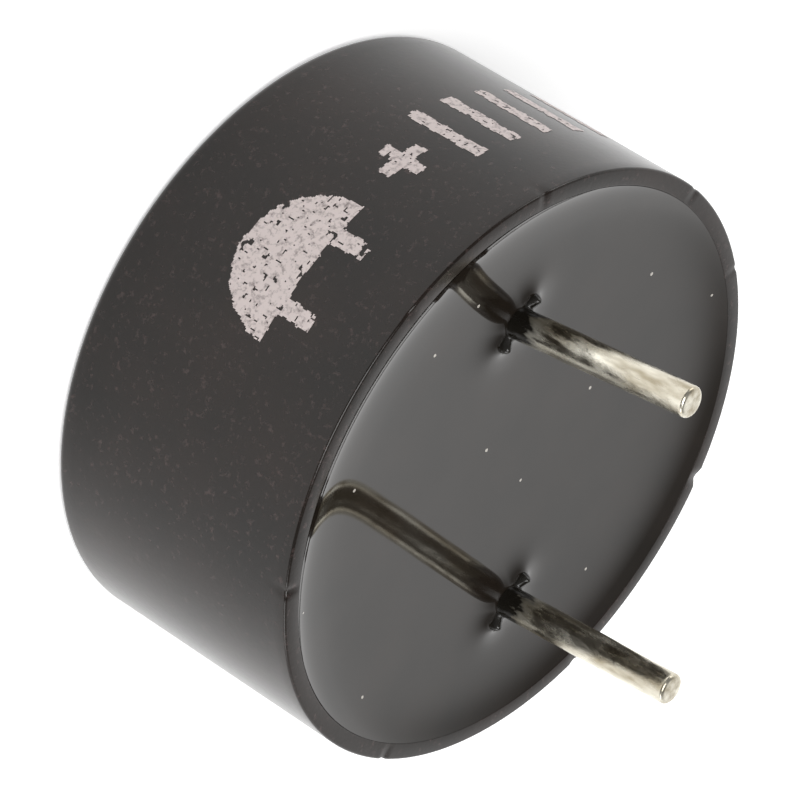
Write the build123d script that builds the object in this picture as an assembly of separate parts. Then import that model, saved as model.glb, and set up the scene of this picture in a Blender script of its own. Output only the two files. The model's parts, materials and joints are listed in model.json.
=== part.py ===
from build123d import *
import os
from math import atan2, cos, degrees, radians, sin, tan

# Round piezo buzzer for a circuit board, pins up. Millimetres, +Z out of the potted end.
# The origin is the centre of the closed sound face, which the buzzer rests on.
# The pin row runs along X, and the positive pin is at -X.

# Moulded housing
case_diameter = 13.8
case_height = 6.7
mouth_wall = 0.4
front_wall = 0.8
front_cavity_depth = 0.9
sound_hole_diameter = 2.0
sound_edge_radius = 0.2
rim_edge_radius = 0.06
board_ledge_width = 0.4

# Diaphragm: brass plate, ceramic disc and fired silver
plate_clearance = 0.1
plate_seat_width = 0.7
plate_thickness = 0.15
bare_plate_width = 1.4
disc_thickness = 0.15
silver_thickness = 0.02
silver_margin = 0.3
tongue_width = 1.8
tongue_length = 3.0
tongue_gap = 0.3
bead_width = 0.55
bead_height = 0.45

# Circuit board and resin
board_thickness = 0.8
board_clearance = 0.05
foil_thickness = 0.04
track_width = 0.35
resin_below_rim = 0.2
resin_cover = 0.6
meniscus_width = 0.9
meniscus_rise = 0.1

# Pins
pin_diameter = 0.7
pin_pitch = 7.5
pin_hole_clearance = 0.1
pin_tail = 0.6
pin_free_length = 4.52
pin_tip_radius = 0.08
pin_bend_radius = 1.5
lean_direction = 132.1
positive_lean = 5.4
negative_lean = 3.5
ear_reach = 0.37
ear_thickness = 0.28
ear_above_resin = 0.1
ear_edge_radius = 0.12

# Drive circuit on the underside of the board
chip_length = 1.6
chip_width = 0.8
chip_height = 0.45
chip_end = 0.3
chip_end_skin = 0.03
chip_pad_margin = 0.25
solder_wedge_height = 0.25
transistor_length = 2.9
transistor_width = 1.3
transistor_height = 0.95
transistor_foot_gap = 0.1
leg_width = 0.4
leg_thickness = 0.12
leg_reach = 0.55
leg_foot = 0.35
leg_spacing = 1.9
leg_height = 0.5

transistor_place = (0.15, 2.4)
collector_chip_place = (-2.4, 3.05)
bias_chip_place = (-2.25, 1.3)
feedback_chip_place = (-0.95, -1.1)
feedback_chip_angle = 90.0

# Leads and hand-soldered joints
lead_diameter = 0.25
joint_radius = 0.4
joint_height = 0.32
pad_margin = 0.12
pin_joint_margin = 0.4
pin_joint_height = 0.5

main_pad_place = (1.87, 3.93)
main_joint_drop = 1.8
feedback_pad_place = (-0.95, -3.3)
feedback_joint_inset = 0.9
plate_pad_place = (3.2, -2.5)
plate_joint_angle = -60.0
lead_bend_share = 0.45

# Radii that follow
case_radius = case_diameter / 2
mouth_radius = case_radius - mouth_wall
chamber_radius = mouth_radius - board_ledge_width
plate_radius = chamber_radius - plate_clearance
front_cavity_radius = plate_radius - plate_seat_width
disc_radius = plate_radius - bare_plate_width
silver_radius = disc_radius - silver_margin
bead_inner_radius = plate_radius - bead_width
board_radius = mouth_radius - board_clearance
pin_radius = pin_diameter / 2
lead_radius = lead_diameter / 2
joint_pad_radius = joint_radius + pad_margin
pin_pad_radius = pin_radius + pin_joint_margin + pad_margin

# Levels that follow, from the sound face up
plate_z = front_wall + front_cavity_depth
disc_z = plate_z + plate_thickness
silver_z = disc_z + disc_thickness
joint_z = silver_z + silver_thickness
resin_z = case_height - resin_below_rim
board_top_z = resin_z - resin_cover
board_z = board_top_z - board_thickness
foil_z = board_z - foil_thickness

UP = (Align.CENTER, Align.CENTER, Align.MIN)


def disc(radius, height, z=0.0):
    return Pos(0, 0, z) * Cylinder(radius, height, align=UP)


def housing():
    """One moulded cup: outer skin, then the bores from the sound hole out to the mouth."""
    cup = disc(case_radius, case_height)
    cup = fillet(cup.edges().group_by(Axis.Z)[0], sound_edge_radius)
    cup -= disc(sound_hole_diameter / 2, case_height)
    cup -= disc(front_cavity_radius, case_height, front_wall)
    cup -= disc(chamber_radius, case_height, plate_z)
    cup -= disc(mouth_radius, case_height, board_z)
    return fillet(cup.edges().group_by(Axis.Z)[-1], rim_edge_radius)


def tongue(width, length):
    """Plan of the feedback tongue, from the disc's -Y edge inwards, widened by a margin for its gap."""
    reach = 2 * silver_radius
    far = -silver_radius + length
    return Pos(0, far, 0) * Rectangle(width, reach, align=(Align.CENTER, Align.MAX))


def main_electrode():
    plan = Circle(silver_radius) - tongue(tongue_width + 2 * tongue_gap, tongue_length + tongue_gap)
    return Pos(0, 0, silver_z) * extrude(plan, silver_thickness)


def feedback_electrode():
    plan = Circle(silver_radius) & tongue(tongue_width, tongue_length)
    return Pos(0, 0, silver_z) * extrude(plan, silver_thickness)


def diaphragm_glue():
    """Bead in the corner over the plate's edge, and down the gap beside it to the ledge."""
    top_z = disc_z + bead_height
    section = Polyline(
        (plate_radius, plate_z),
        (chamber_radius, plate_z),
        (chamber_radius, top_z),
        (bead_inner_radius, disc_z),
        (plate_radius, disc_z),
        close=True,
    )
    return revolve(Plane.XZ * make_face(section), Axis.Z)


def circuit_board():
    board = disc(board_radius, board_thickness, board_z)
    hole = disc(pin_radius + pin_hole_clearance, case_height)
    for side in (-1, 1):
        board -= Pos(side * pin_pitch / 2, 0, 0) * hole
    return board


def potting(pins):
    """Resin over the board, level in the middle and rising in an arc to meet the wall."""
    level_radius = mouth_radius - meniscus_width
    arc_radius = (meniscus_width**2 + meniscus_rise**2) / (2 * meniscus_rise)
    wall_z = resin_z + meniscus_rise
    surface = Line((0, resin_z), (level_radius, resin_z))
    meniscus = RadiusArc((level_radius, resin_z), (mouth_radius, wall_z), -arc_radius)
    sides = Polyline((mouth_radius, wall_z), (mouth_radius, board_top_z), (0, board_top_z), (0, resin_z))
    resin = revolve(Plane.XZ * make_face([surface, meniscus, sides]), Axis.Z)
    for pin in pins:
        resin -= pin
    return resin


def pin(side, lean):
    """Round tinned wire, upright through the board, then leaning as it leaves the resin.

    The wire is pinched above the board, which presses out two flat ears that rest on it.
    """
    x = side * pin_pitch / 2
    across = sin(radians(lean)) * pin_free_length
    root = Vector(x, 0, board_z - pin_tail)
    bend = Vector(x, 0, resin_z)
    tip = bend + Vector(
        across * cos(radians(lean_direction)),
        across * sin(radians(lean_direction)),
        cos(radians(lean)) * pin_free_length,
    )
    path = FilletPolyline(root, bend, tip, radius=pin_bend_radius)
    wire = sweep(Plane(root, z_dir=(0, 0, 1)) * Circle(pin_radius), path=path)
    ends = wire.edges().sort_by(Axis.Z)
    wire = fillet([ends[0], ends[-1]], pin_tip_radius)

    span = 2 * (pin_radius + ear_reach)
    ears = extrude(SlotOverall(span, ear_thickness), resin_cover + ear_above_resin)
    ears = fillet(ears.edges().group_by(Axis.Z)[-1], ear_edge_radius)
    return wire + Pos(x, 0, board_top_z) * Rot(0, 0, lean_direction) * ears


def under_board(shape, place, angle=0.0):
    """Hangs a shape, built up from Z = 0, on the foil under the board."""
    return Pos(place[0], place[1], foil_z) * Rot(0, 0, angle) * mirror(shape, about=Plane.XY)


def chip_end_box():
    skin = 2 * chip_end_skin
    return Box(chip_end, chip_width + skin, chip_height + skin, align=UP)


def chip_ends():
    """The two plated ends, each wrapped round the ceramic."""
    ends = Part()
    for side in (-1, 1):
        ends += Pos(side * (chip_length - chip_end) / 2, 0, 0) * chip_end_box()
    return ends - chip_core()


def chip_core():
    length = chip_length - 2 * chip_end_skin
    return Pos(0, 0, chip_end_skin) * Box(length, chip_width, chip_height, align=UP)


def solder_wedge(width):
    """Reflow fillet that leans on a face at X = 0 and runs out along +X over the pad."""
    section = Polyline((0, 0), (chip_pad_margin, 0), (0, solder_wedge_height), close=True)
    return extrude(Plane.XZ * make_face(section), width / 2, both=True)


def chip_wedges():
    wedges = Part()
    for angle in (0, 180):
        wedges += Rot(0, 0, angle) * Pos(chip_length / 2, 0, 0) * solder_wedge(chip_width)
    return wedges


def leg_places():
    """X and side of the three legs: two on one long side, one on the other."""
    return ((-leg_spacing / 2, -1), (leg_spacing / 2, -1), (0.0, 1))


def transistor_body():
    block = Box(transistor_length, transistor_width, transistor_height, align=UP)
    return Pos(0, 0, transistor_foot_gap) * block


def leg():
    """Gull-wing leg out along +Y from the body's side: shoulder, drop and foot."""
    start = transistor_width / 2
    knee = start + leg_reach - leg_foot
    outline = Polyline(
        (start, leg_height),
        (knee, leg_height),
        (knee, 0),
        (start + leg_reach, 0),
        (start + leg_reach, leg_thickness),
        (knee + leg_thickness, leg_thickness),
        (knee + leg_thickness, leg_height + leg_thickness),
        (start, leg_height + leg_thickness),
        close=True,
    )
    return extrude(Plane.YZ * make_face(outline), leg_width / 2, both=True)


def transistor_legs():
    legs = Part()
    for x, side in leg_places():
        legs += Pos(x, 0, 0) * Rot(0, 0, 0 if side > 0 else 180) * leg()
    return legs


def leg_wedges():
    wedges = Part()
    toe = transistor_width / 2 + leg_reach
    for x, side in leg_places():
        wedge = Rot(0, 0, 90 * side) * Pos(toe, 0, 0) * solder_wedge(leg_width)
        wedges += Pos(x, 0, 0) * wedge
    return wedges & disc(2 * transistor_length, leg_thickness)


def along(place, angle, distance):
    """The point that lies a distance from a place, at an angle from +X."""
    return (
        place[0] + distance * cos(radians(angle)),
        place[1] + distance * sin(radians(angle)),
    )


def chip_end_places(place, angle):
    reach = (chip_length - chip_end) / 2
    return along(place, angle + 180, reach), along(place, angle, reach)


def foot_places():
    """Centres of the feet, in the order of leg_places."""
    reach = transistor_width / 2 + leg_reach - leg_foot / 2
    return [(transistor_place[0] + x, transistor_place[1] + side * reach) for x, side in leg_places()]


def track(*places):
    """A run of foil through the places, with round ends."""
    run = Sketch()
    for start, end in zip(places, places[1:]):
        step = Vector(*end) - Vector(*start)
        middle = (Vector(*end) + Vector(*start)) * 0.5
        turn = degrees(atan2(step.Y, step.X))
        run += Pos(*middle) * Rot(0, 0, turn) * SlotCenterToCenter(step.length, track_width)
    return run


def chip_pads(place, angle):
    pads = Sketch()
    length = chip_end + chip_pad_margin
    offset = chip_length / 2 + chip_pad_margin - length / 2
    for turn in (angle, angle + 180):
        x, y = along(place, turn, offset)
        pads += Pos(x, y, 0) * Rot(0, 0, turn) * Rectangle(length, chip_width + pad_margin)
    return pads


def leg_pads():
    pads = Sketch()
    for x, y in foot_places():
        side = 1 if y > transistor_place[1] else -1
        shifted = y + side * chip_pad_margin / 2
        pads += Pos(x, shifted, 0) * Rectangle(leg_width + pad_margin, leg_foot + chip_pad_margin)
    return pads


def board_tracks():
    """Foil: supply, ground, base, collector and feedback areas, each one connected patch."""
    base, emitter, collector = foot_places()
    supply_a, collector_a = chip_end_places(collector_chip_place, 0)
    supply_b, base_b = chip_end_places(bias_chip_place, 0)
    feedback_c, base_c = chip_end_places(feedback_chip_place, feedback_chip_angle)
    positive = (-pin_pitch / 2, 0)
    negative = (pin_pitch / 2, 0)

    foil = track(positive, supply_a) + track(positive, supply_b)
    foil += track(base_b, base, base_c)
    foil += track(emitter, negative, plate_pad_place)
    foil += track(collector_a, collector, main_pad_place)
    foil += track(feedback_c, feedback_pad_place)
    foil += leg_pads()
    for place, angle in chip_seats():
        foil += chip_pads(place, angle)
    for place in (main_pad_place, feedback_pad_place, plate_pad_place):
        foil += Pos(*place) * Circle(joint_pad_radius)
    for place in (positive, negative):
        foil += Pos(*place) * Circle(pin_pad_radius)
        foil -= Pos(*place) * Circle(pin_radius + pin_hole_clearance)
    return Pos(0, 0, foil_z) * extrude(foil, foil_thickness)


def chip_seats():
    """Place and angle of the collector, bias and feedback chips."""
    return (
        (collector_chip_place, 0),
        (bias_chip_place, 0),
        (feedback_chip_place, feedback_chip_angle),
    )


def chip_solder():
    solder = under_board(leg_wedges(), transistor_place)
    for place, angle in chip_seats():
        solder += under_board(chip_wedges(), place, angle)
    return solder


def lead(pad_place, joint_place, joint_level):
    """Fine wire from its pad down to the diaphragm: straight, across in a slant, then straight."""
    gap = foil_z - joint_level
    drop = gap / 3
    across = (Vector(*pad_place) - Vector(*joint_place)).length
    bend = lead_bend_share * drop / tan(atan2(across, drop) / 2)
    start = Vector(*pad_place, foil_z)
    end = Vector(*joint_place, joint_level)
    fall = Vector(0, 0, drop)
    path = FilletPolyline(start, start - fall, end + fall, end, radius=bend)
    return sweep(Plane(start, z_dir=(0, 0, -1)) * Circle(lead_radius), path=path)


def dome():
    """Solder joint of a lead, standing up from Z = 0."""
    ball = (joint_radius**2 + joint_height**2) / (2 * joint_height)
    return split(Pos(0, 0, joint_height - ball) * Sphere(ball), bisect_by=Plane.XY, keep=Keep.TOP)


def diaphragm_joint(place, level, wire):
    return Pos(*place, level) * dome() - wire


def board_joint(place, wire):
    return under_board(dome(), place) - wire


def pin_joint(side, post):
    """Solder cone round a pin's tail."""
    cone = Cone(pin_radius + pin_joint_margin, pin_radius, pin_joint_height, align=UP)
    return under_board(cone, (side * pin_pitch / 2, 0)) - post


main_joint_place = along(main_pad_place, -90, main_joint_drop)
bare_middle = (disc_radius + bead_inner_radius) / 2
plate_joint_place = along((0, 0), plate_joint_angle, bare_middle)
feedback_joint_place = (0, feedback_joint_inset - silver_radius)

pin_positive = pin(-1, positive_lean)
pin_negative = pin(1, negative_lean)
plate_lead = lead(plate_pad_place, plate_joint_place, disc_z)
main_lead = lead(main_pad_place, main_joint_place, joint_z)
feedback_lead = lead(feedback_pad_place, feedback_joint_place, joint_z)

nodes = {
    "housing": housing(),
    "diaphragm_plate": disc(plate_radius, plate_thickness, plate_z),
    "piezo_disc": disc(disc_radius, disc_thickness, disc_z),
    "main_electrode": main_electrode(),
    "feedback_electrode": feedback_electrode(),
    "diaphragm_glue": diaphragm_glue(),
    "circuit_board": circuit_board(),
    "board_tracks": board_tracks(),
    "transistor_body": under_board(transistor_body(), transistor_place),
    "transistor_legs": under_board(transistor_legs(), transistor_place),
    "chip_solder": chip_solder(),
    "plate_lead": plate_lead,
    "main_lead": main_lead,
    "feedback_lead": feedback_lead,
    "plate_solder": diaphragm_joint(plate_joint_place, disc_z, plate_lead),
    "main_solder": diaphragm_joint(main_joint_place, joint_z, main_lead),
    "feedback_solder": diaphragm_joint(feedback_joint_place, joint_z, feedback_lead),
    "plate_pad_solder": board_joint(plate_pad_place, plate_lead),
    "main_pad_solder": board_joint(main_pad_place, main_lead),
    "feedback_pad_solder": board_joint(feedback_pad_place, feedback_lead),
    "pin_positive": pin_positive,
    "pin_negative": pin_negative,
    "pin_positive_solder": pin_joint(-1, pin_positive),
    "pin_negative_solder": pin_joint(1, pin_negative),
    "potting": potting([pin_positive, pin_negative]),
}
for name, (place, angle) in zip(("collector", "bias", "feedback"), chip_seats()):
    nodes[name + "_resistor"] = under_board(chip_core(), place, angle)
    nodes[name + "_resistor_ends"] = under_board(chip_ends(), place, angle)

os.makedirs("parts", exist_ok=True)
for name, shape in nodes.items():
    export_step(shape, "parts/" + name + ".step")
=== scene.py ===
import json
from math import cos, pi, radians, sin, tau

import bmesh
import bpy
import numpy as np
from mathutils import Matrix, Vector


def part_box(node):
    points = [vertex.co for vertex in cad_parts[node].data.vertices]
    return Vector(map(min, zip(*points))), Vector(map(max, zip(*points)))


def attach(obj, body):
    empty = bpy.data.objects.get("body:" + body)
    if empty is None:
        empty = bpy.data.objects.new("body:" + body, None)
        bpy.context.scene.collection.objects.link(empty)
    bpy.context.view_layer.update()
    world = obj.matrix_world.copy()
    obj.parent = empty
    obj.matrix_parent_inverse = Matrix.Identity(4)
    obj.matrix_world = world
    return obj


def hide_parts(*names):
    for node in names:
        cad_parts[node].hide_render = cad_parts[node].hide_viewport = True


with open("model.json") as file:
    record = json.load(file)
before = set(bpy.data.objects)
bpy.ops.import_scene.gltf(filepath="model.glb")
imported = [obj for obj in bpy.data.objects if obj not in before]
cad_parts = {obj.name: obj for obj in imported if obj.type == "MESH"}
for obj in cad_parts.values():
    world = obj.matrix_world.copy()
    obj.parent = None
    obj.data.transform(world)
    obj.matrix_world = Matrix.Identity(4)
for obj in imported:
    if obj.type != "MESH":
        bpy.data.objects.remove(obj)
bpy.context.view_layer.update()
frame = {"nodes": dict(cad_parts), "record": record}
nodes = frame["nodes"]
mm = 0.001

# ---------------------------------------------------------------- housing
# One moulded cup of black PBT: straight outer wall, thin flat rim, stepped bores for the diaphragm,
# the board and the resin, and a sound hole in the closed face. The pieces are stacked into it from
# the mouth and potted. Its rim has lost a few flecks to handling.

case_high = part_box("housing")[1]
resin_low, resin_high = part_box("potting")
case_radius = case_high[0]
case_height = case_high[2]
mouth_radius = resin_high[0]
chamber_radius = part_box("diaphragm_glue")[1][0]
board_ledge_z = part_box("circuit_board")[0][2]
plate_ledge_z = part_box("diaphragm_plate")[0][2]
front_cavity_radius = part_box("diaphragm_plate")[1][0] - 0.7 * mm
front_wall = 0.8 * mm
sound_hole_radius = 1.0 * mm
sound_edge_radius = 0.2 * mm
rim_edge_radius = 0.06 * mm
case_turns = 480
rim_wear_depth = 0.3 * mm
rim_ripple = 0.004 * mm
# Azimuth in degrees, depth and half width along the rim in mm: the flecks missing from its outer edge.
rim_nicks = (
    (58.0, 0.07, 0.22), (104.0, 0.03, 0.10), (131.0, 0.03, 0.10), (17.0, 0.03, 0.12), (-35.0, 0.04, 0.10),
    (-96.0, 0.05, 0.14), (-150.0, 0.03, 0.20), (176.0, 0.04, 0.12),
)


def linear(colour):
    """sRGB hex such as "2b2725" to the linear RGBA that a shader takes."""
    parts = [int(colour[i:i + 2], 16) / 255 for i in (0, 2, 4)]
    return [c / 12.92 if c <= 0.04045 else ((c + 0.055) / 1.055) ** 2.4 for c in parts] + [1.0]


def add(tree, kind, links=(), **settings):
    """Adds a node. Settings name its properties or, as a plain socket name, its inputs; links feed inputs."""
    node = tree.nodes.new(kind)
    for name, value in settings.items():
        if hasattr(node, name):
            setattr(node, name, value)
        else:
            socket = node.inputs[name.replace("_", " ")]
            socket.default_value = value
    for name, source in dict(links).items():
        tree.links.new(source, node.inputs[name])
    return node


def new_material(name):
    material = bpy.data.materials.new(name)
    material.use_nodes = True
    material.node_tree.nodes.clear()
    return material, material.node_tree


def finish_material(tree, shader):
    output = tree.nodes.new("ShaderNodeOutputMaterial")
    tree.links.new(shader.outputs[0], output.inputs["Surface"])


def arc(centre, radius, start, end, steps):
    """Points of a rounded edge, in (r, z), between two angles in degrees."""
    angles = np.radians(np.linspace(start, end, steps))
    return [(centre[0] + radius * cos(a), centre[1] + radius * sin(a)) for a in angles]


def turned(name, section, turns):
    """A closed mesh turned about Z from a ring of (r, z) points; points on the axis become poles."""
    angles = np.linspace(0, tau, turns, endpoint=False)
    section = np.array(section)
    grid = np.stack([
        section[:, :1] * np.cos(angles),
        section[:, :1] * np.sin(angles),
        np.repeat(section[:, 1:], turns, axis=1),
    ], axis=-1)
    mesh_data = bmesh.new()
    rings = [[mesh_data.verts.new(p) for p in ring] for ring in grid]
    for lower, upper in zip(rings, rings[1:] + rings[:1]):
        for i in range(turns):
            j = (i + 1) % turns
            mesh_data.faces.new((lower[i], lower[j], upper[j], upper[i]))
    bmesh.ops.remove_doubles(mesh_data, verts=mesh_data.verts, dist=1e-8)
    bmesh.ops.recalc_face_normals(mesh_data, faces=mesh_data.faces)
    mesh = bpy.data.meshes.new(name)
    mesh_data.to_mesh(mesh)
    mesh_data.free()
    return mesh


def make_piece(name, mesh, material, slot, *replaced):
    """Links a mesh as a piece of the object, rides it on the body and hides the CAD parts it stands in for;
    the slot is not used.
    """
    piece = bpy.data.objects.new(name, mesh)
    bpy.context.scene.collection.objects.link(piece)
    if material:
        mesh.materials.clear()
        mesh.materials.append(material)
    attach(piece, "root")
    if replaced:
        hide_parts(*replaced)
    return piece


def shade_by_angle(mesh, degrees):
    mesh.shade_smooth()
    mesh.set_sharp_from_angle(angle=radians(degrees))


def housing_section():
    wall = np.linspace(sound_edge_radius, case_height - rim_edge_radius, 24)
    inner_edge = rim_edge_radius / 2
    rim_corner = (case_radius - rim_edge_radius, case_height - rim_edge_radius)
    bottom_corner = (case_radius - sound_edge_radius, sound_edge_radius)
    section = [(sound_hole_radius, 0.0), (case_radius * 0.6, 0.0)]
    section += arc(bottom_corner, sound_edge_radius, -90, 0, 7)
    section += [(case_radius, z) for z in wall[1:-1]]
    section += arc(rim_corner, rim_edge_radius, 0, 90, 6)
    section += [((case_radius + mouth_radius) / 2, case_height)]
    section += arc((mouth_radius + inner_edge, case_height - inner_edge), inner_edge, 90, 180, 5)
    section += [(mouth_radius, board_ledge_z), (chamber_radius, board_ledge_z)]
    section += [(chamber_radius, plate_ledge_z), (front_cavity_radius, plate_ledge_z)]
    section += [(front_cavity_radius, front_wall), (sound_hole_radius, front_wall)]
    return section


def chip_rim(mesh):
    """Takes the nicks out of the rim's outer edge and lets its flat run a hair uneven."""
    for vertex in mesh.vertices:
        x, y, z = vertex.co
        radius = (x * x + y * y) ** 0.5
        depth_below = case_height - z
        if depth_below > rim_wear_depth or radius < mouth_radius:
            continue
        azimuth = np.degrees(np.arctan2(y, x))
        ripple = rim_ripple * (sin(radians(azimuth * 3 + 40)) + sin(radians(azimuth * 7)) - 2)
        inward = 0.0
        for centre, depth, half_width in rim_nicks:
            off = abs((azimuth - centre + 180) % 360 - 180) * pi / 180 * case_radius / mm
            if off < half_width:
                inward += depth * mm * (1 - off / half_width)
        outer = max(0.0, (radius - mouth_radius) / (case_radius - mouth_radius))
        fade = max(0.0, 1 - depth_below / rim_wear_depth)
        vertex.co.z += ripple * fade - inward * outer * fade
        vertex.co.x -= x / radius * inward * outer * fade
        vertex.co.y -= y / radius * inward * outer * fade


def black_pbt():
    """Moulded PBT, spark-eroded mould: a fine matt grain, faintly brown, with rubbed paler specks."""
    material, tree = new_material("moulded_black_pbt")
    where = add(tree, "ShaderNodeTexCoord").outputs["Object"]
    at_place = {"Vector": where}
    grain = add(tree, "ShaderNodeTexNoise", at_place, Scale=1 / (0.09 * mm), Detail=3.0, Roughness=0.6)
    cloud = add(tree, "ShaderNodeTexNoise", at_place, Scale=1 / (2.6 * mm), Detail=4.0, Roughness=0.55)
    tone = add(tree, "ShaderNodeValToRGB", {"Fac": cloud.outputs["Fac"]})
    tone.color_ramp.elements[0].position = 0.35
    tone.color_ramp.elements[0].color = linear("15100c")
    tone.color_ramp.elements[1].position = 0.7
    tone.color_ramp.elements[1].color = linear("211813")
    speck = add(tree, "ShaderNodeTexNoise", at_place, Scale=1 / (0.16 * mm), Detail=2.0, Roughness=0.7)
    speck_mask = add(
        tree, "ShaderNodeMapRange", {"Value": speck.outputs["Fac"]}, From_Min=0.58, From_Max=0.74, To_Max=0.6
    )
    colour = add(tree, "ShaderNodeMix", data_type="RGBA")
    tree.links.new(speck_mask.outputs["Result"], colour.inputs["Factor"])
    tree.links.new(tone.outputs["Color"], colour.inputs["A"])
    colour.inputs["B"].default_value = linear("4a3c3a")
    dull = add(tree, "ShaderNodeMapRange", {"Value": grain.outputs["Fac"]}, To_Min=0.15, To_Max=0.25)
    relief = add(tree, "ShaderNodeBump", {"Height": grain.outputs["Fac"]}, Strength=0.2, Distance=0.01 * mm)
    shader = add(
        tree, "ShaderNodeBsdfPrincipled",
        {"Base Color": colour.outputs[2], "Roughness": dull.outputs[0], "Normal": relief.outputs[0]},
        Specular_IOR_Level=0.34,
    )
    finish_material(tree, shader)
    return material


pbt = black_pbt()
housing_mesh = turned("housing_moulding", housing_section(), case_turns)
chip_rim(housing_mesh)
shade_by_angle(housing_mesh, 35)
make_piece("housing_moulding", housing_mesh, pbt, "black_moulding", "housing")

# ---------------------------------------------------------------- pins
# Two straight copper-clad wires, pinched into a pair of ears above the board and dip tinned. The tin
# froze in long uneven runs, and the ends were cut after dipping, so they are flat and bright.

voxel = 0.025 * mm
tin_lump = 0.014 * mm
tin_lump_length = 0.55 * mm
pin_radius = 0.35 * mm
ear_swell = 2.3
ear_top = 0.12 * mm
ear_root = 0.05 * mm


def dipped_tin_tree():
    """Geometry nodes: pushes a surface in and out along its normal in long, low lumps."""
    tree = bpy.data.node_groups.new("dipped_tin", "GeometryNodeTree")
    tree.interface.new_socket("Geometry", in_out="INPUT", socket_type="NodeSocketGeometry")
    for name in ("Lump Height", "Lump Length"):
        tree.interface.new_socket(name, in_out="INPUT", socket_type="NodeSocketFloat")
    tree.interface.new_socket("Finish", in_out="INPUT", socket_type="NodeSocketMaterial")
    tree.interface.new_socket("Geometry", in_out="OUTPUT", socket_type="NodeSocketGeometry")
    given = tree.nodes.new("NodeGroupInput")
    where = add(tree, "GeometryNodeInputPosition").outputs[0]
    stretch = add(tree, "ShaderNodeVectorMath", {0: where}, operation="MULTIPLY")
    stretch.inputs[1].default_value = (1.0, 1.0, 0.45)
    scale = add(tree, "ShaderNodeMath", {1: given.outputs["Lump Length"]}, operation="DIVIDE")
    scale.inputs[0].default_value = 1.0
    stretched = {"Vector": stretch.outputs[0], "Scale": scale.outputs[0]}
    noise = add(tree, "ShaderNodeTexNoise", stretched, Detail=2.0)
    centred = add(tree, "ShaderNodeMath", {0: noise.outputs["Fac"]}, operation="SUBTRACT")
    centred.inputs[1].default_value = 0.62
    lump = {0: centred.outputs[0], 1: given.outputs["Lump Height"]}
    push = add(tree, "ShaderNodeMath", lump, operation="MULTIPLY")
    normal = add(tree, "GeometryNodeInputNormal").outputs[0]
    offset = add(tree, "ShaderNodeVectorMath", {0: normal, "Scale": push.outputs[0]}, operation="SCALE")
    moved = add(
        tree, "GeometryNodeSetPosition", {"Geometry": given.outputs["Geometry"], "Offset": offset.outputs[0]}
    )
    whole = add(tree, "GeometryNodeRealizeInstances", {"Geometry": moved.outputs[0]})
    dressed = add(
        tree, "GeometryNodeSetMaterial",
        {"Geometry": whole.outputs[0], "Material": given.outputs["Finish"]},
    )
    out = tree.nodes.new("NodeGroupOutput")
    tree.links.new(dressed.outputs[0], out.inputs[0])
    return tree


def set_inputs(modifier, **values):
    """Sets a geometry nodes modifier's inputs by their sockets' identifiers."""
    for item in modifier.node_group.interface.items_tree:
        key = item.name.replace(" ", "_")
        if item.item_type == "SOCKET" and item.in_out == "INPUT" and key in values:
            modifier[item.identifier] = values[key]


def plain_mesh(carrier, name):
    """The evaluated result of an object's modifiers as a plain mesh; the carrier is removed."""
    graph = bpy.context.evaluated_depsgraph_get()
    graph.update()
    mesh = bpy.data.meshes.new_from_object(carrier.evaluated_get(graph))
    mesh.name = name
    old = carrier.data
    bpy.data.objects.remove(carrier)
    if old.users == 0:
        bpy.data.meshes.remove(old)
    return mesh


def merged_copy(node, name):
    """A carrier object that holds a CAD node's mesh with its loose triangles joined."""
    mesh_data = bmesh.new()
    mesh_data.from_mesh(nodes[node].data)
    bmesh.ops.remove_doubles(mesh_data, verts=mesh_data.verts, dist=1e-7)
    mesh = bpy.data.meshes.new(name)
    mesh_data.to_mesh(mesh)
    mesh_data.free()
    carrier = bpy.data.objects.new(name, mesh)
    bpy.context.scene.collection.objects.link(carrier)
    return carrier


def swell_ears(mesh):
    """Raises the tops of the ears, which carry a rounded cap of resin over the metal."""
    sunk = [v.co for v in mesh.vertices if v.co.z < resin_level]
    middle = sum(sunk, Vector()) / len(sunk)
    for vertex in mesh.vertices:
        above = vertex.co.z - resin_level
        aside = ((vertex.co.x - middle.x) ** 2 + (vertex.co.y - middle.y) ** 2) ** 0.5
        if 0 < above < ear_top and aside > pin_radius + ear_root:
            vertex.co.z = resin_level + above * ear_swell


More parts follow.
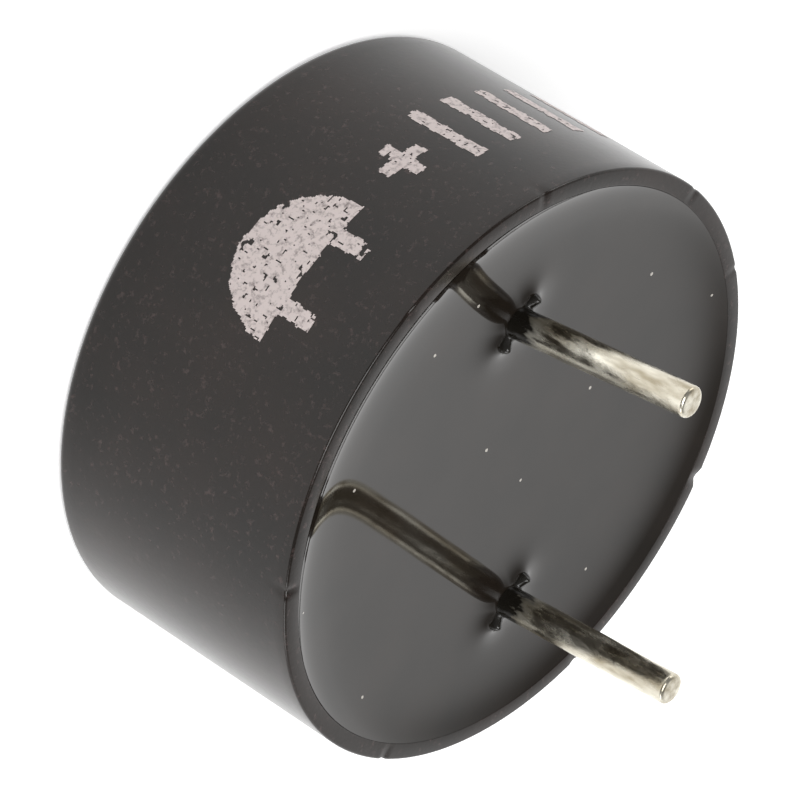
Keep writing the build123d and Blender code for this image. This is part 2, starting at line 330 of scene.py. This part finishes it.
def tinned_wire():
    """Dipped tin: bright, lumpy along the wire, stained by flux, with a film of resin at its foot."""
    material, tree = new_material("dip_tinned_wire")
    where = add(tree, "ShaderNodeTexCoord").outputs["Object"]
    along = add(tree, "ShaderNodeMapping", {"Vector": where})
    along.inputs["Scale"].default_value = (1.0, 1.0, 0.3)
    drawn = {"Vector": along.outputs[0]}
    streak = add(tree, "ShaderNodeTexNoise", drawn, Scale=1 / (0.14 * mm), Detail=4.0, Roughness=0.6)
    stain = add(tree, "ShaderNodeTexNoise", drawn, Scale=1 / (0.5 * mm), Detail=3.0, Roughness=0.6)
    tint = add(tree, "ShaderNodeValToRGB", {"Fac": stain.outputs["Fac"]})
    tint.color_ramp.elements[0].position = 0.36
    tint.color_ramp.elements[0].color = linear("a39a86")
    tint.color_ramp.elements[1].position = 0.62
    tint.color_ramp.elements[1].color = linear("e8e4d6")
    height = add(tree, "ShaderNodeSeparateXYZ", {0: where}).outputs["Z"]
    wobble = add(tree, "ShaderNodeMath", {0: streak.outputs["Fac"]}, operation="MULTIPLY")
    wobble.inputs[1].default_value = 1.1 * mm
    edge = add(tree, "ShaderNodeMath", {0: height, 1: wobble.outputs[0]}, operation="SUBTRACT")
    film = add(
        tree, "ShaderNodeMapRange", {"Value": edge.outputs[0]},
        From_Min=resin_level - 0.10 * mm, From_Max=resin_level + 0.45 * mm, To_Min=1.0, To_Max=0.0,
    )
    filmed = {"Factor": film.outputs["Result"], "A": tint.outputs["Color"]}
    colour = add(tree, "ShaderNodeMix", filmed, data_type="RGBA")
    colour.inputs["B"].default_value = linear("17140f")
    metal = add(tree, "ShaderNodeMath", {1: film.outputs["Result"]}, operation="SUBTRACT")
    metal.inputs[0].default_value = 1.0
    dull = add(
        tree, "ShaderNodeMapRange", {"Value": streak.outputs["Fac"]},
        From_Min=0.3, From_Max=0.7, To_Min=0.12, To_Max=0.34,
    )
    relief = add(tree, "ShaderNodeBump", {"Height": streak.outputs["Fac"]}, Strength=0.5, Distance=0.012 * mm)
    shader = add(
        tree, "ShaderNodeBsdfPrincipled",
        {"Base Color": colour.outputs[2], "Metallic": metal.outputs[0], "Roughness": dull.outputs["Result"],
         "Normal": relief.outputs["Normal"]},
    )
    finish_material(tree, shader)
    return material


resin_level = 6.5 * mm
tin = tinned_wire()
dipped = dipped_tin_tree()
for pin_name in ("pin_positive", "pin_negative"):
    carrier = merged_copy(pin_name, pin_name + "_carrier")
    swell_ears(carrier.data)
    remesh = carrier.modifiers.new("remesh", "REMESH")
    remesh.mode = "VOXEL"
    remesh.voxel_size = voxel
    smooth = carrier.modifiers.new("smooth", "SMOOTH")
    smooth.iterations = 3
    tinning = carrier.modifiers.new("tinning", "NODES")
    tinning.node_group = dipped
    set_inputs(tinning, Lump_Height=tin_lump, Lump_Length=tin_lump_length, Finish=tin)
    pin_mesh = plain_mesh(carrier, pin_name + "_tinned")
    pin_mesh.shade_smooth()
    make_piece(pin_name + "_tinned", pin_mesh, None, "tinned_wire", pin_name)

# ---------------------------------------------------------------- potting
# Two-part black epoxy, poured into the mouth over the board and cured with the pins up. It wets
# what it touches, so it climbs the wall, the pins and their ears in a thin curved meniscus, and its
# skin sets as smooth as glass.

wall_climb = 0.19 * mm
wall_reach = 0.40 * mm
pin_climb = 0.11 * mm
pin_reach = 0.22 * mm
bowl_sag = 0.13 * mm
resin_turns = 360
resin_rings = 150


def meniscus_tree():
    """Geometry nodes: raises a flat skin by how near it is to the wall and to what stands in it."""
    tree = bpy.data.node_groups.new("meniscus", "GeometryNodeTree")
    tree.interface.new_socket("Geometry", in_out="INPUT", socket_type="NodeSocketGeometry")
    for name in (
        "Mouth Radius", "Wall Climb", "Wall Reach", "Pin Climb", "Pin Reach", "Bowl Sag", "Skin Height",
    ):
        tree.interface.new_socket(name, in_out="INPUT", socket_type="NodeSocketFloat")
    tree.interface.new_socket("First Pin", in_out="INPUT", socket_type="NodeSocketObject")
    tree.interface.new_socket("Second Pin", in_out="INPUT", socket_type="NodeSocketObject")
    tree.interface.new_socket("Finish", in_out="INPUT", socket_type="NodeSocketMaterial")
    tree.interface.new_socket("Geometry", in_out="OUTPUT", socket_type="NodeSocketGeometry")
    given = tree.nodes.new("NodeGroupInput").outputs
    where = add(tree, "GeometryNodeInputPosition").outputs[0]
    flat = add(tree, "ShaderNodeVectorMath", {0: where}, operation="MULTIPLY")
    flat.inputs[1].default_value = (1.0, 1.0, 0.0)
    radius = add(tree, "ShaderNodeVectorMath", {0: flat.outputs[0]}, operation="LENGTH").outputs["Value"]
    gap = {0: given["Mouth Radius"], 1: radius}
    from_wall = add(tree, "ShaderNodeMath", gap, operation="SUBTRACT").outputs[0]

    def climb(distance, reach, height):
        """height * exp(-distance / reach)"""
        share = add(tree, "ShaderNodeMath", {0: distance, 1: reach}, operation="DIVIDE").outputs[0]
        falling = add(tree, "ShaderNodeMath", {0: share}, operation="MULTIPLY")
        falling.inputs[1].default_value = -1.0
        decay = add(tree, "ShaderNodeMath", {0: falling.outputs[0]}, operation="EXPONENT").outputs[0]
        return add(tree, "ShaderNodeMath", {0: decay, 1: height}, operation="MULTIPLY").outputs[0]

    rises = [climb(from_wall, given["Wall Reach"], given["Wall Climb"])]
    for pin in ("First Pin", "Second Pin"):
        shape = add(tree, "GeometryNodeObjectInfo", {"Object": given[pin]}).outputs["Geometry"]
        near = add(tree, "GeometryNodeProximity", {0: shape}).outputs["Distance"]
        rises.append(climb(near, given["Pin Reach"], given["Pin Climb"]))
    share = add(tree, "ShaderNodeMath", {0: radius, 1: given["Mouth Radius"]}, operation="DIVIDE").outputs[0]
    square = add(tree, "ShaderNodeMath", {0: share, 1: share}, operation="MULTIPLY").outputs[0]
    hollow = add(tree, "ShaderNodeMath", {0: square}, operation="SUBTRACT")
    hollow.inputs[1].default_value = 1.0
    sunk_by = {0: hollow.outputs[0], 1: given["Bowl Sag"]}
    total = add(tree, "ShaderNodeMath", sunk_by, operation="MULTIPLY").outputs[0]
    for rise in rises:
        total = add(tree, "ShaderNodeMath", {0: total, 1: rise}, operation="ADD").outputs[0]
    lift = add(tree, "ShaderNodeCombineXYZ", {"Z": total}).outputs[0]
    height = add(tree, "ShaderNodeSeparateXYZ", {0: where}).outputs["Z"]
    over = {0: height, 1: given["Skin Height"]}
    on_skin = add(tree, "ShaderNodeMath", over, operation="GREATER_THAN").outputs[0]
    moved = add(
        tree, "GeometryNodeSetPosition",
        {"Geometry": given["Geometry"], "Selection": on_skin, "Offset": lift},
    )
    whole = add(tree, "GeometryNodeRealizeInstances", {"Geometry": moved.outputs[0]})
    dressed = add(
        tree, "GeometryNodeSetMaterial", {"Geometry": whole.outputs[0], "Material": given["Finish"]}
    )
    out = tree.nodes.new("NodeGroupOutput")
    tree.links.new(dressed.outputs[0], out.inputs[0])
    return tree


def cast_epoxy():
    """Cured black epoxy: near black, a glassy skin with a trace of haze and a few dust flecks set in it."""
    material, tree = new_material("cast_black_epoxy")
    where = add(tree, "ShaderNodeTexCoord").outputs["Object"]
    haze = add(tree, "ShaderNodeTexNoise", {"Vector": where}, Scale=1 / (1.5 * mm), Detail=5.0, Roughness=0.6)
    tone = add(tree, "ShaderNodeValToRGB", {"Fac": haze.outputs["Fac"]})
    tone.color_ramp.elements[0].position = 0.3
    tone.color_ramp.elements[0].color = linear("17130e")
    tone.color_ramp.elements[1].position = 0.75
    tone.color_ramp.elements[1].color = linear("221c17")
    dull = add(tree, "ShaderNodeMapRange", {"Value": haze.outputs["Fac"]}, To_Min=0.02, To_Max=0.07)
    swell = add(tree, "ShaderNodeTexNoise", {"Vector": where}, Scale=1 / (2.2 * mm), Detail=1.0)
    relief = add(tree, "ShaderNodeBump", {"Height": swell.outputs["Fac"]}, Strength=0.2, Distance=0.02 * mm)
    dust = add(tree, "ShaderNodeTexVoronoi", {"Vector": where}, Scale=1 / (0.7 * mm))
    dot = add(tree, "ShaderNodeMath", {0: dust.outputs["Distance"]}, operation="LESS_THAN")
    dot.inputs[1].default_value = 0.06
    lone = add(tree, "ShaderNodeSeparateXYZ", {0: dust.outputs["Color"]}).outputs["X"]
    chosen = add(tree, "ShaderNodeMath", {0: lone}, operation="LESS_THAN")
    chosen.inputs[1].default_value = 0.35
    both_true = {0: dot.outputs[0], 1: chosen.outputs[0]}
    fleck = add(tree, "ShaderNodeMath", both_true, operation="MULTIPLY").outputs[0]
    colour = add(tree, "ShaderNodeMix", data_type="RGBA")
    tree.links.new(fleck, colour.inputs["Factor"])
    tree.links.new(tone.outputs["Color"], colour.inputs["A"])
    colour.inputs["B"].default_value = linear("b5b0a8")
    shader = add(
        tree, "ShaderNodeBsdfPrincipled",
        {"Base Color": colour.outputs[2], "Roughness": dull.outputs[0], "Normal": relief.outputs[0]},
        IOR=1.55,
    )
    finish_material(tree, shader)
    return material


def resin_section():
    """Closed (r, z) section with rings that crowd towards the wall, where the skin curves most."""
    spread = np.linspace(0, 1, resin_rings)
    radii = mouth_radius * (1 - (1 - spread) ** 1.6)
    section = [(r, resin_level) for r in radii]
    section += [(mouth_radius, resin_low[2]), (0.0, resin_low[2])]
    return section


epoxy = cast_epoxy()
skin_mesh = turned("potting_skin", resin_section(), resin_turns)
skin = bpy.data.objects.new("potting_carrier", skin_mesh)
bpy.context.scene.collection.objects.link(skin)
pour = skin.modifiers.new("pour", "NODES")
pour.node_group = meniscus_tree()
set_inputs(
    pour, Mouth_Radius=mouth_radius, Wall_Climb=wall_climb, Wall_Reach=wall_reach,
    Pin_Climb=pin_climb, Pin_Reach=pin_reach, Bowl_Sag=bowl_sag, Skin_Height=resin_level - 0.01 * mm,
    First_Pin=nodes["pin_positive"], Second_Pin=nodes["pin_negative"], Finish=epoxy,
)
potting_mesh = plain_mesh(skin, "potting_resin")
shade_by_angle(potting_mesh, 60)
make_piece("potting_resin", potting_mesh, None, "potting_resin", "potting")

# ---------------------------------------------------------------- print
# Pad-printed marks in pale ink on the side wall: a plain sounder symbol, a plus over the positive
# pin and a row of bars. The ink is thin and worn, so its edges are ragged and it is full of pinholes.

print_cell = 0.03 * mm
ink_thickness = 0.006 * mm
ragged_edge = 0.04
pinhole_level = 0.17
print_base_z = 5.05 * mm
symbol_azimuth = 229.0
marks_azimuth = 191.0
bar_pitch = 1.03
bar_count = 6


def sounder_symbol(s, t):
    """Depth inside the symbol, in mm: a filled half disc that stands on two short leads."""
    disc = np.minimum(1.75 - np.hypot(s - 2.0, t - 0.9), t - 0.9)
    leads = np.minimum(0.2 - np.minimum(abs(s - 1.1), abs(s - 2.9)), np.minimum(t - 0.05, 1.0 - t))
    return np.maximum(disc, leads)


def plus_and_bars(s, t):
    """Depth inside the marks, in mm: a plus, then upright bars at an even pitch."""
    level = np.minimum(0.55 - abs(s - 0.6), 0.16 - abs(t - 1.2))
    upright = np.minimum(0.16 - abs(s - 0.6), 0.55 - abs(t - 1.2))
    depth = np.maximum(level, upright)
    for i in range(bar_count):
        bar = np.minimum(0.17 - abs(s - 1.9 - i * bar_pitch), 1.0 - abs(t - 1.2))
        depth = np.maximum(depth, bar)
    return depth


def soft_noise(shape, cells, seed):
    """Smooth noise from 0 to 1: random values on a coarse grid, blended between its points."""
    rows, columns = (n // cells + 2 for n in shape)
    coarse = np.random.default_rng(seed).random((rows, columns))
    y, x = (np.arange(n) / cells for n in shape)
    rough = np.array([np.interp(x, np.arange(columns), row) for row in coarse])
    return np.array([np.interp(y, np.arange(rows), column) for column in rough.T]).T


def flat_print(name, width, height, depth_inside, seed):
    """A flat sheet of small faces, kept where the ink took."""
    columns, rows = (int(round(size * mm / print_cell)) for size in (width, height))
    s, t = np.meshgrid(*((np.arange(count) + 0.5) * print_cell / mm for count in (columns, rows)))
    edge = (soft_noise(s.shape, 3, seed) - 0.5) * 2 * ragged_edge
    holes = soft_noise(s.shape, 3, seed + 1) < pinhole_level
    inked = (depth_inside(s, t) + edge > 0) & ~holes
    mesh_data = bmesh.new()
    corners = {}
    for row, column in zip(*np.nonzero(inked)):
        face = []
        for j, i in ((row, column), (row, column + 1), (row + 1, column + 1), (row + 1, column)):
            if (i, j) not in corners:
                corners[i, j] = mesh_data.verts.new((i * print_cell, j * print_cell, 0))
            face.append(corners[i, j])
        mesh_data.faces.new(face)
    mesh = bpy.data.meshes.new(name)
    mesh_data.to_mesh(mesh)
    mesh_data.free()
    return mesh


def wrapped_print_tree():
    """Geometry nodes: lays a flat sheet round the side wall, its top towards the sound face."""
    tree = bpy.data.node_groups.new("wrapped_print", "GeometryNodeTree")
    tree.interface.new_socket("Geometry", in_out="INPUT", socket_type="NodeSocketGeometry")
    for name in ("Wall Radius", "Start Angle", "Base Height"):
        tree.interface.new_socket(name, in_out="INPUT", socket_type="NodeSocketFloat")
    tree.interface.new_socket("Finish", in_out="INPUT", socket_type="NodeSocketMaterial")
    tree.interface.new_socket("Geometry", in_out="OUTPUT", socket_type="NodeSocketGeometry")
    given = tree.nodes.new("NodeGroupInput").outputs
    flat = add(tree, "GeometryNodeInputPosition").outputs[0]
    where = add(tree, "ShaderNodeSeparateXYZ", {0: flat}).outputs
    run = {0: where["X"], 1: given["Wall Radius"]}
    swept = add(tree, "ShaderNodeMath", run, operation="DIVIDE").outputs[0]
    turn_left = {0: given["Start Angle"], 1: swept}
    angle = add(tree, "ShaderNodeMath", turn_left, operation="SUBTRACT").outputs[0]
    place = {}
    for axis, turn in (("X", "COSINE"), ("Y", "SINE")):
        share = add(tree, "ShaderNodeMath", {0: angle}, operation=turn).outputs[0]
        out_to_wall = {0: share, 1: given["Wall Radius"]}
        place[axis] = add(tree, "ShaderNodeMath", out_to_wall, operation="MULTIPLY").outputs[0]
    down = {0: given["Base Height"], 1: where["Y"]}
    place["Z"] = add(tree, "ShaderNodeMath", down, operation="SUBTRACT").outputs[0]
    on_wall = add(tree, "ShaderNodeCombineXYZ", place).outputs[0]
    moved = add(tree, "GeometryNodeSetPosition", {"Geometry": given["Geometry"], "Position": on_wall})
    whole = add(tree, "GeometryNodeRealizeInstances", {"Geometry": moved.outputs[0]})
    dressed = add(
        tree, "GeometryNodeSetMaterial", {"Geometry": whole.outputs[0], "Material": given["Finish"]}
    )
    out = tree.nodes.new("NodeGroupOutput")
    tree.links.new(dressed.outputs[0], out.inputs[0])
    return tree


def pad_ink():
    """Matt pad-printing ink, a warm pale grey, thinner in places so that the black shows through."""
    material, tree = new_material("pale_pad_printing_ink")
    where = add(tree, "ShaderNodeTexCoord").outputs["Object"]
    thin = add(
        tree, "ShaderNodeTexNoise", {"Vector": where}, Scale=1 / (0.12 * mm), Detail=3.0, Roughness=0.7
    )
    tone = add(tree, "ShaderNodeValToRGB", {"Fac": thin.outputs["Fac"]})
    tone.color_ramp.elements[0].position = 0.32
    tone.color_ramp.elements[0].color = linear("8d8280")
    tone.color_ramp.elements[1].position = 0.5
    tone.color_ramp.elements[1].color = linear("cfc3c0")
    dull = add(tree, "ShaderNodeMapRange", {"Value": thin.outputs["Fac"]}, To_Min=0.45, To_Max=0.65)
    relief = add(tree, "ShaderNodeBump", {"Height": thin.outputs["Fac"]}, Strength=0.3, Distance=0.01 * mm)
    shader = add(
        tree, "ShaderNodeBsdfPrincipled",
        {"Base Color": tone.outputs["Color"], "Roughness": dull.outputs[0], "Normal": relief.outputs[0]},
    )
    finish_material(tree, shader)
    return material


ink = pad_ink()
wrap = wrapped_print_tree()
for name, width, height, shape, azimuth, seed in (
    ("sounder_symbol_print", 4.0, 2.8, sounder_symbol, symbol_azimuth, 11),
    ("plus_and_bars_print", 7.4, 2.4, plus_and_bars, marks_azimuth, 23),
):
    sheet = bpy.data.objects.new(name + "_carrier", flat_print(name, width, height, shape, seed))
    bpy.context.scene.collection.objects.link(sheet)
    around = sheet.modifiers.new("around", "NODES")
    around.node_group = wrap
    set_inputs(
        around, Wall_Radius=case_radius + ink_thickness, Start_Angle=radians(azimuth),
        Base_Height=print_base_z, Finish=ink,
    )
    make_piece(name, plain_mesh(sheet, name), None, "black_moulding")

# ---------------------------------------------------------------- inside
# The sealed pieces keep their own shapes. Each gets the finish of its real material.


def simple_finish(name, colour, other, grain, rough, metallic=0.0, relief=0.3):
    """A two-tone, faintly uneven surface for a piece that is sealed in the cup."""
    material, tree = new_material(name)
    where = add(tree, "ShaderNodeTexCoord").outputs["Object"]
    noise = add(tree, "ShaderNodeTexNoise", {"Vector": where}, Scale=1 / grain, Detail=4.0, Roughness=0.6)
    tone = add(tree, "ShaderNodeValToRGB", {"Fac": noise.outputs["Fac"]})
    tone.color_ramp.elements[0].position = 0.35
    tone.color_ramp.elements[0].color = linear(colour)
    tone.color_ramp.elements[1].position = 0.65
    tone.color_ramp.elements[1].color = linear(other)
    dull = add(
        tree, "ShaderNodeMapRange", {"Value": noise.outputs["Fac"]}, To_Min=rough - 0.08, To_Max=rough + 0.08
    )
    bump = add(tree, "ShaderNodeBump", {"Height": noise.outputs["Fac"]}, Strength=relief, Distance=0.01 * mm)
    shader = add(
        tree, "ShaderNodeBsdfPrincipled",
        {"Base Color": tone.outputs["Color"], "Roughness": dull.outputs[0], "Normal": bump.outputs[0]},
        Metallic=metallic,
    )
    finish_material(tree, shader)
    return material


inner_finishes = {
    "brass_plate": simple_finish("rolled_brass", "b08a4c", "c9a463", 0.3 * mm, 0.3, 1.0),
    "piezo_ceramic": simple_finish("fired_pzt_ceramic", "b3a88f", "c2b79e", 0.08 * mm, 0.7),
    "fired_silver": simple_finish("fired_silver_paste", "c9c7bf", "dddbd2", 0.06 * mm, 0.45, 1.0),
    "silicone_bead": simple_finish("rtv_silicone", "cfcdc4", "dedcd4", 0.5 * mm, 0.35),
    "board_laminate": simple_finish("fr4_laminate", "5d6b2e", "6f7d3a", 0.2 * mm, 0.5),
    "board_foil": simple_finish("etched_copper_foil", "b0673f", "c57b50", 0.1 * mm, 0.35, 1.0),
    "transistor_epoxy": simple_finish("transfer_moulded_epoxy", "1b1b1c", "262627", 0.05 * mm, 0.6),
    "chip_body": simple_finish("glazed_alumina", "17181b", "222327", 0.1 * mm, 0.3),
    "plated_ends": simple_finish("matt_tin_plate", "bdbbb4", "d0cec7", 0.05 * mm, 0.4, 1.0),
    "solder": simple_finish("reflowed_solder", "b9b9b8", "cfcfcd", 0.2 * mm, 0.22, 1.0),
    "lead_enamel": simple_finish("polyurethane_enamel", "7e2a14", "9a3a1d", 0.4 * mm, 0.25),
}
for part in frame["record"]["subparts"]:
    if part["material_slot"] in inner_finishes:
        data = nodes[part["node"]].data
        data.materials.clear()
        data.materials.append(inner_finishes[part["material_slot"]])
for node, material in (("housing", pbt), ("potting", epoxy), ("pin_positive", tin), ("pin_negative", tin)):
    nodes[node].data.materials.clear()
    nodes[node].data.materials.append(material)

# ---------------------------------------------------------------- studio
# White table with a broad pale backdrop beyond the case, a dim room overhead and behind the camera,
# and three soft lamps: one high over the camera, one low at each side.

floor_half = 0.4
floor_gap = 0.02 * mm
table_glow = 0.42
floor_corners = ((-1, -1), (1, -1), (1, 1), (-1, 1))
floor_mesh = bpy.data.meshes.new("floor")
floor_places = [(x * floor_half, y * floor_half, -floor_gap) for x, y in floor_corners]
floor_mesh.from_pydata(floor_places, [], [(0, 1, 2, 3)])
floor = bpy.data.objects.new("floor", floor_mesh)
bpy.context.scene.collection.objects.link(floor)
floor_material, tree = new_material("white_table")
ray = add(tree, "ShaderNodeLightPath").outputs
paper = add(tree, "ShaderNodeBsdfDiffuse")
paper.inputs["Color"].default_value = linear("f2f2f2")
seen = add(tree, "ShaderNodeMath", {0: ray["Is Camera Ray"], 1: ray["Is Glossy Ray"]}, operation="MAXIMUM")
lift = add(tree, "ShaderNodeMath", {0: seen.outputs[0]}, operation="MULTIPLY")
lift.inputs[1].default_value = table_glow
glow = add(tree, "ShaderNodeEmission", {"Strength": lift.outputs[0]})
both = add(tree, "ShaderNodeAddShader", {0: paper.outputs[0], 1: glow.outputs[0]})
finish_material(tree, both)
floor_mesh.materials.append(floor_material)

world = bpy.data.worlds.new("studio")
bpy.context.scene.world = world
world.use_nodes = True
tree = world.node_tree
sky = tree.nodes["Background"]
room_light = 0.28
backdrop_light = 1.35
sky.inputs["Color"].default_value = (1.0, 1.0, 1.0, 1.0)
towards = add(tree, "ShaderNodeTexCoord").outputs["Generated"]
rise = add(tree, "ShaderNodeSeparateXYZ", {0: towards}).outputs["Z"]
low = add(tree, "ShaderNodeMapRange", {"Value": rise}, From_Min=0.44, From_Max=0.88, To_Min=1.0, To_Max=0.0)
across = add(tree, "ShaderNodeVectorMath", {0: towards}, operation="DOT_PRODUCT")
across.inputs[1].default_value = (0.742, 0.671, 0.0)
ahead = add(
    tree, "ShaderNodeMapRange", {"Value": across.outputs["Value"]},
    From_Min=-0.15, From_Max=0.45, To_Min=0.0, To_Max=1.0,
)
paper_glow = add(tree, "ShaderNodeMath", {0: low.outputs[0], 1: ahead.outputs[0]}, operation="MULTIPLY")
level = add(
    tree, "ShaderNodeMapRange", {"Value": paper_glow.outputs[0]}, To_Min=room_light, To_Max=backdrop_light
)
tree.links.new(level.outputs[0], sky.inputs["Strength"])


def soft_lamp(name, place, size, power):
    lamp = bpy.data.lights.new(name, "AREA")
    lamp.size = size
    lamp.energy = power
    holder = bpy.data.objects.new(name, lamp)
    bpy.context.scene.collection.objects.link(holder)
    holder.location = place
    aim = Vector((0, 0, case_height / 2)) - Vector(place)
    holder.rotation_euler = aim.to_track_quat("-Z", "Y").to_euler()


soft_lamp("high_softbox", (-0.08, -0.14, 0.26), 0.18, 0.62)
soft_lamp("side_softbox", (0.18, -0.20, 0.12), 0.14, 0.20)
soft_lamp("far_softbox", (-0.20, 0.20, 0.10), 0.14, 0.16)

# The camera stands well back with a long lens, rolled so that the pins point down to the right.
rim_centre = Vector((0, 0, case_height))
stand = Vector((-10.9706, -9.9260, 8.9067)) * case_radius
right = Vector((-0.01583, 0.69704, 0.71683))
up = Vector((-0.77927, 0.44056, -0.44560))
camera_data = bpy.data.cameras.new("camera")
camera_data.lens = 257.5
camera_data.sensor_width = 36.0
camera_data.clip_start = 0.005
camera_data.clip_end = 5.0
camera = bpy.data.objects.new("camera", camera_data)
bpy.context.scene.collection.objects.link(camera)
back = right.cross(up)
turn = Matrix((right, up, back)).transposed().to_4x4()
camera.matrix_world = Matrix.Translation(rim_centre + stand) @ turn
bpy.context.scene.camera = camera
bpy.context.scene.view_settings.view_transform = "Standard"
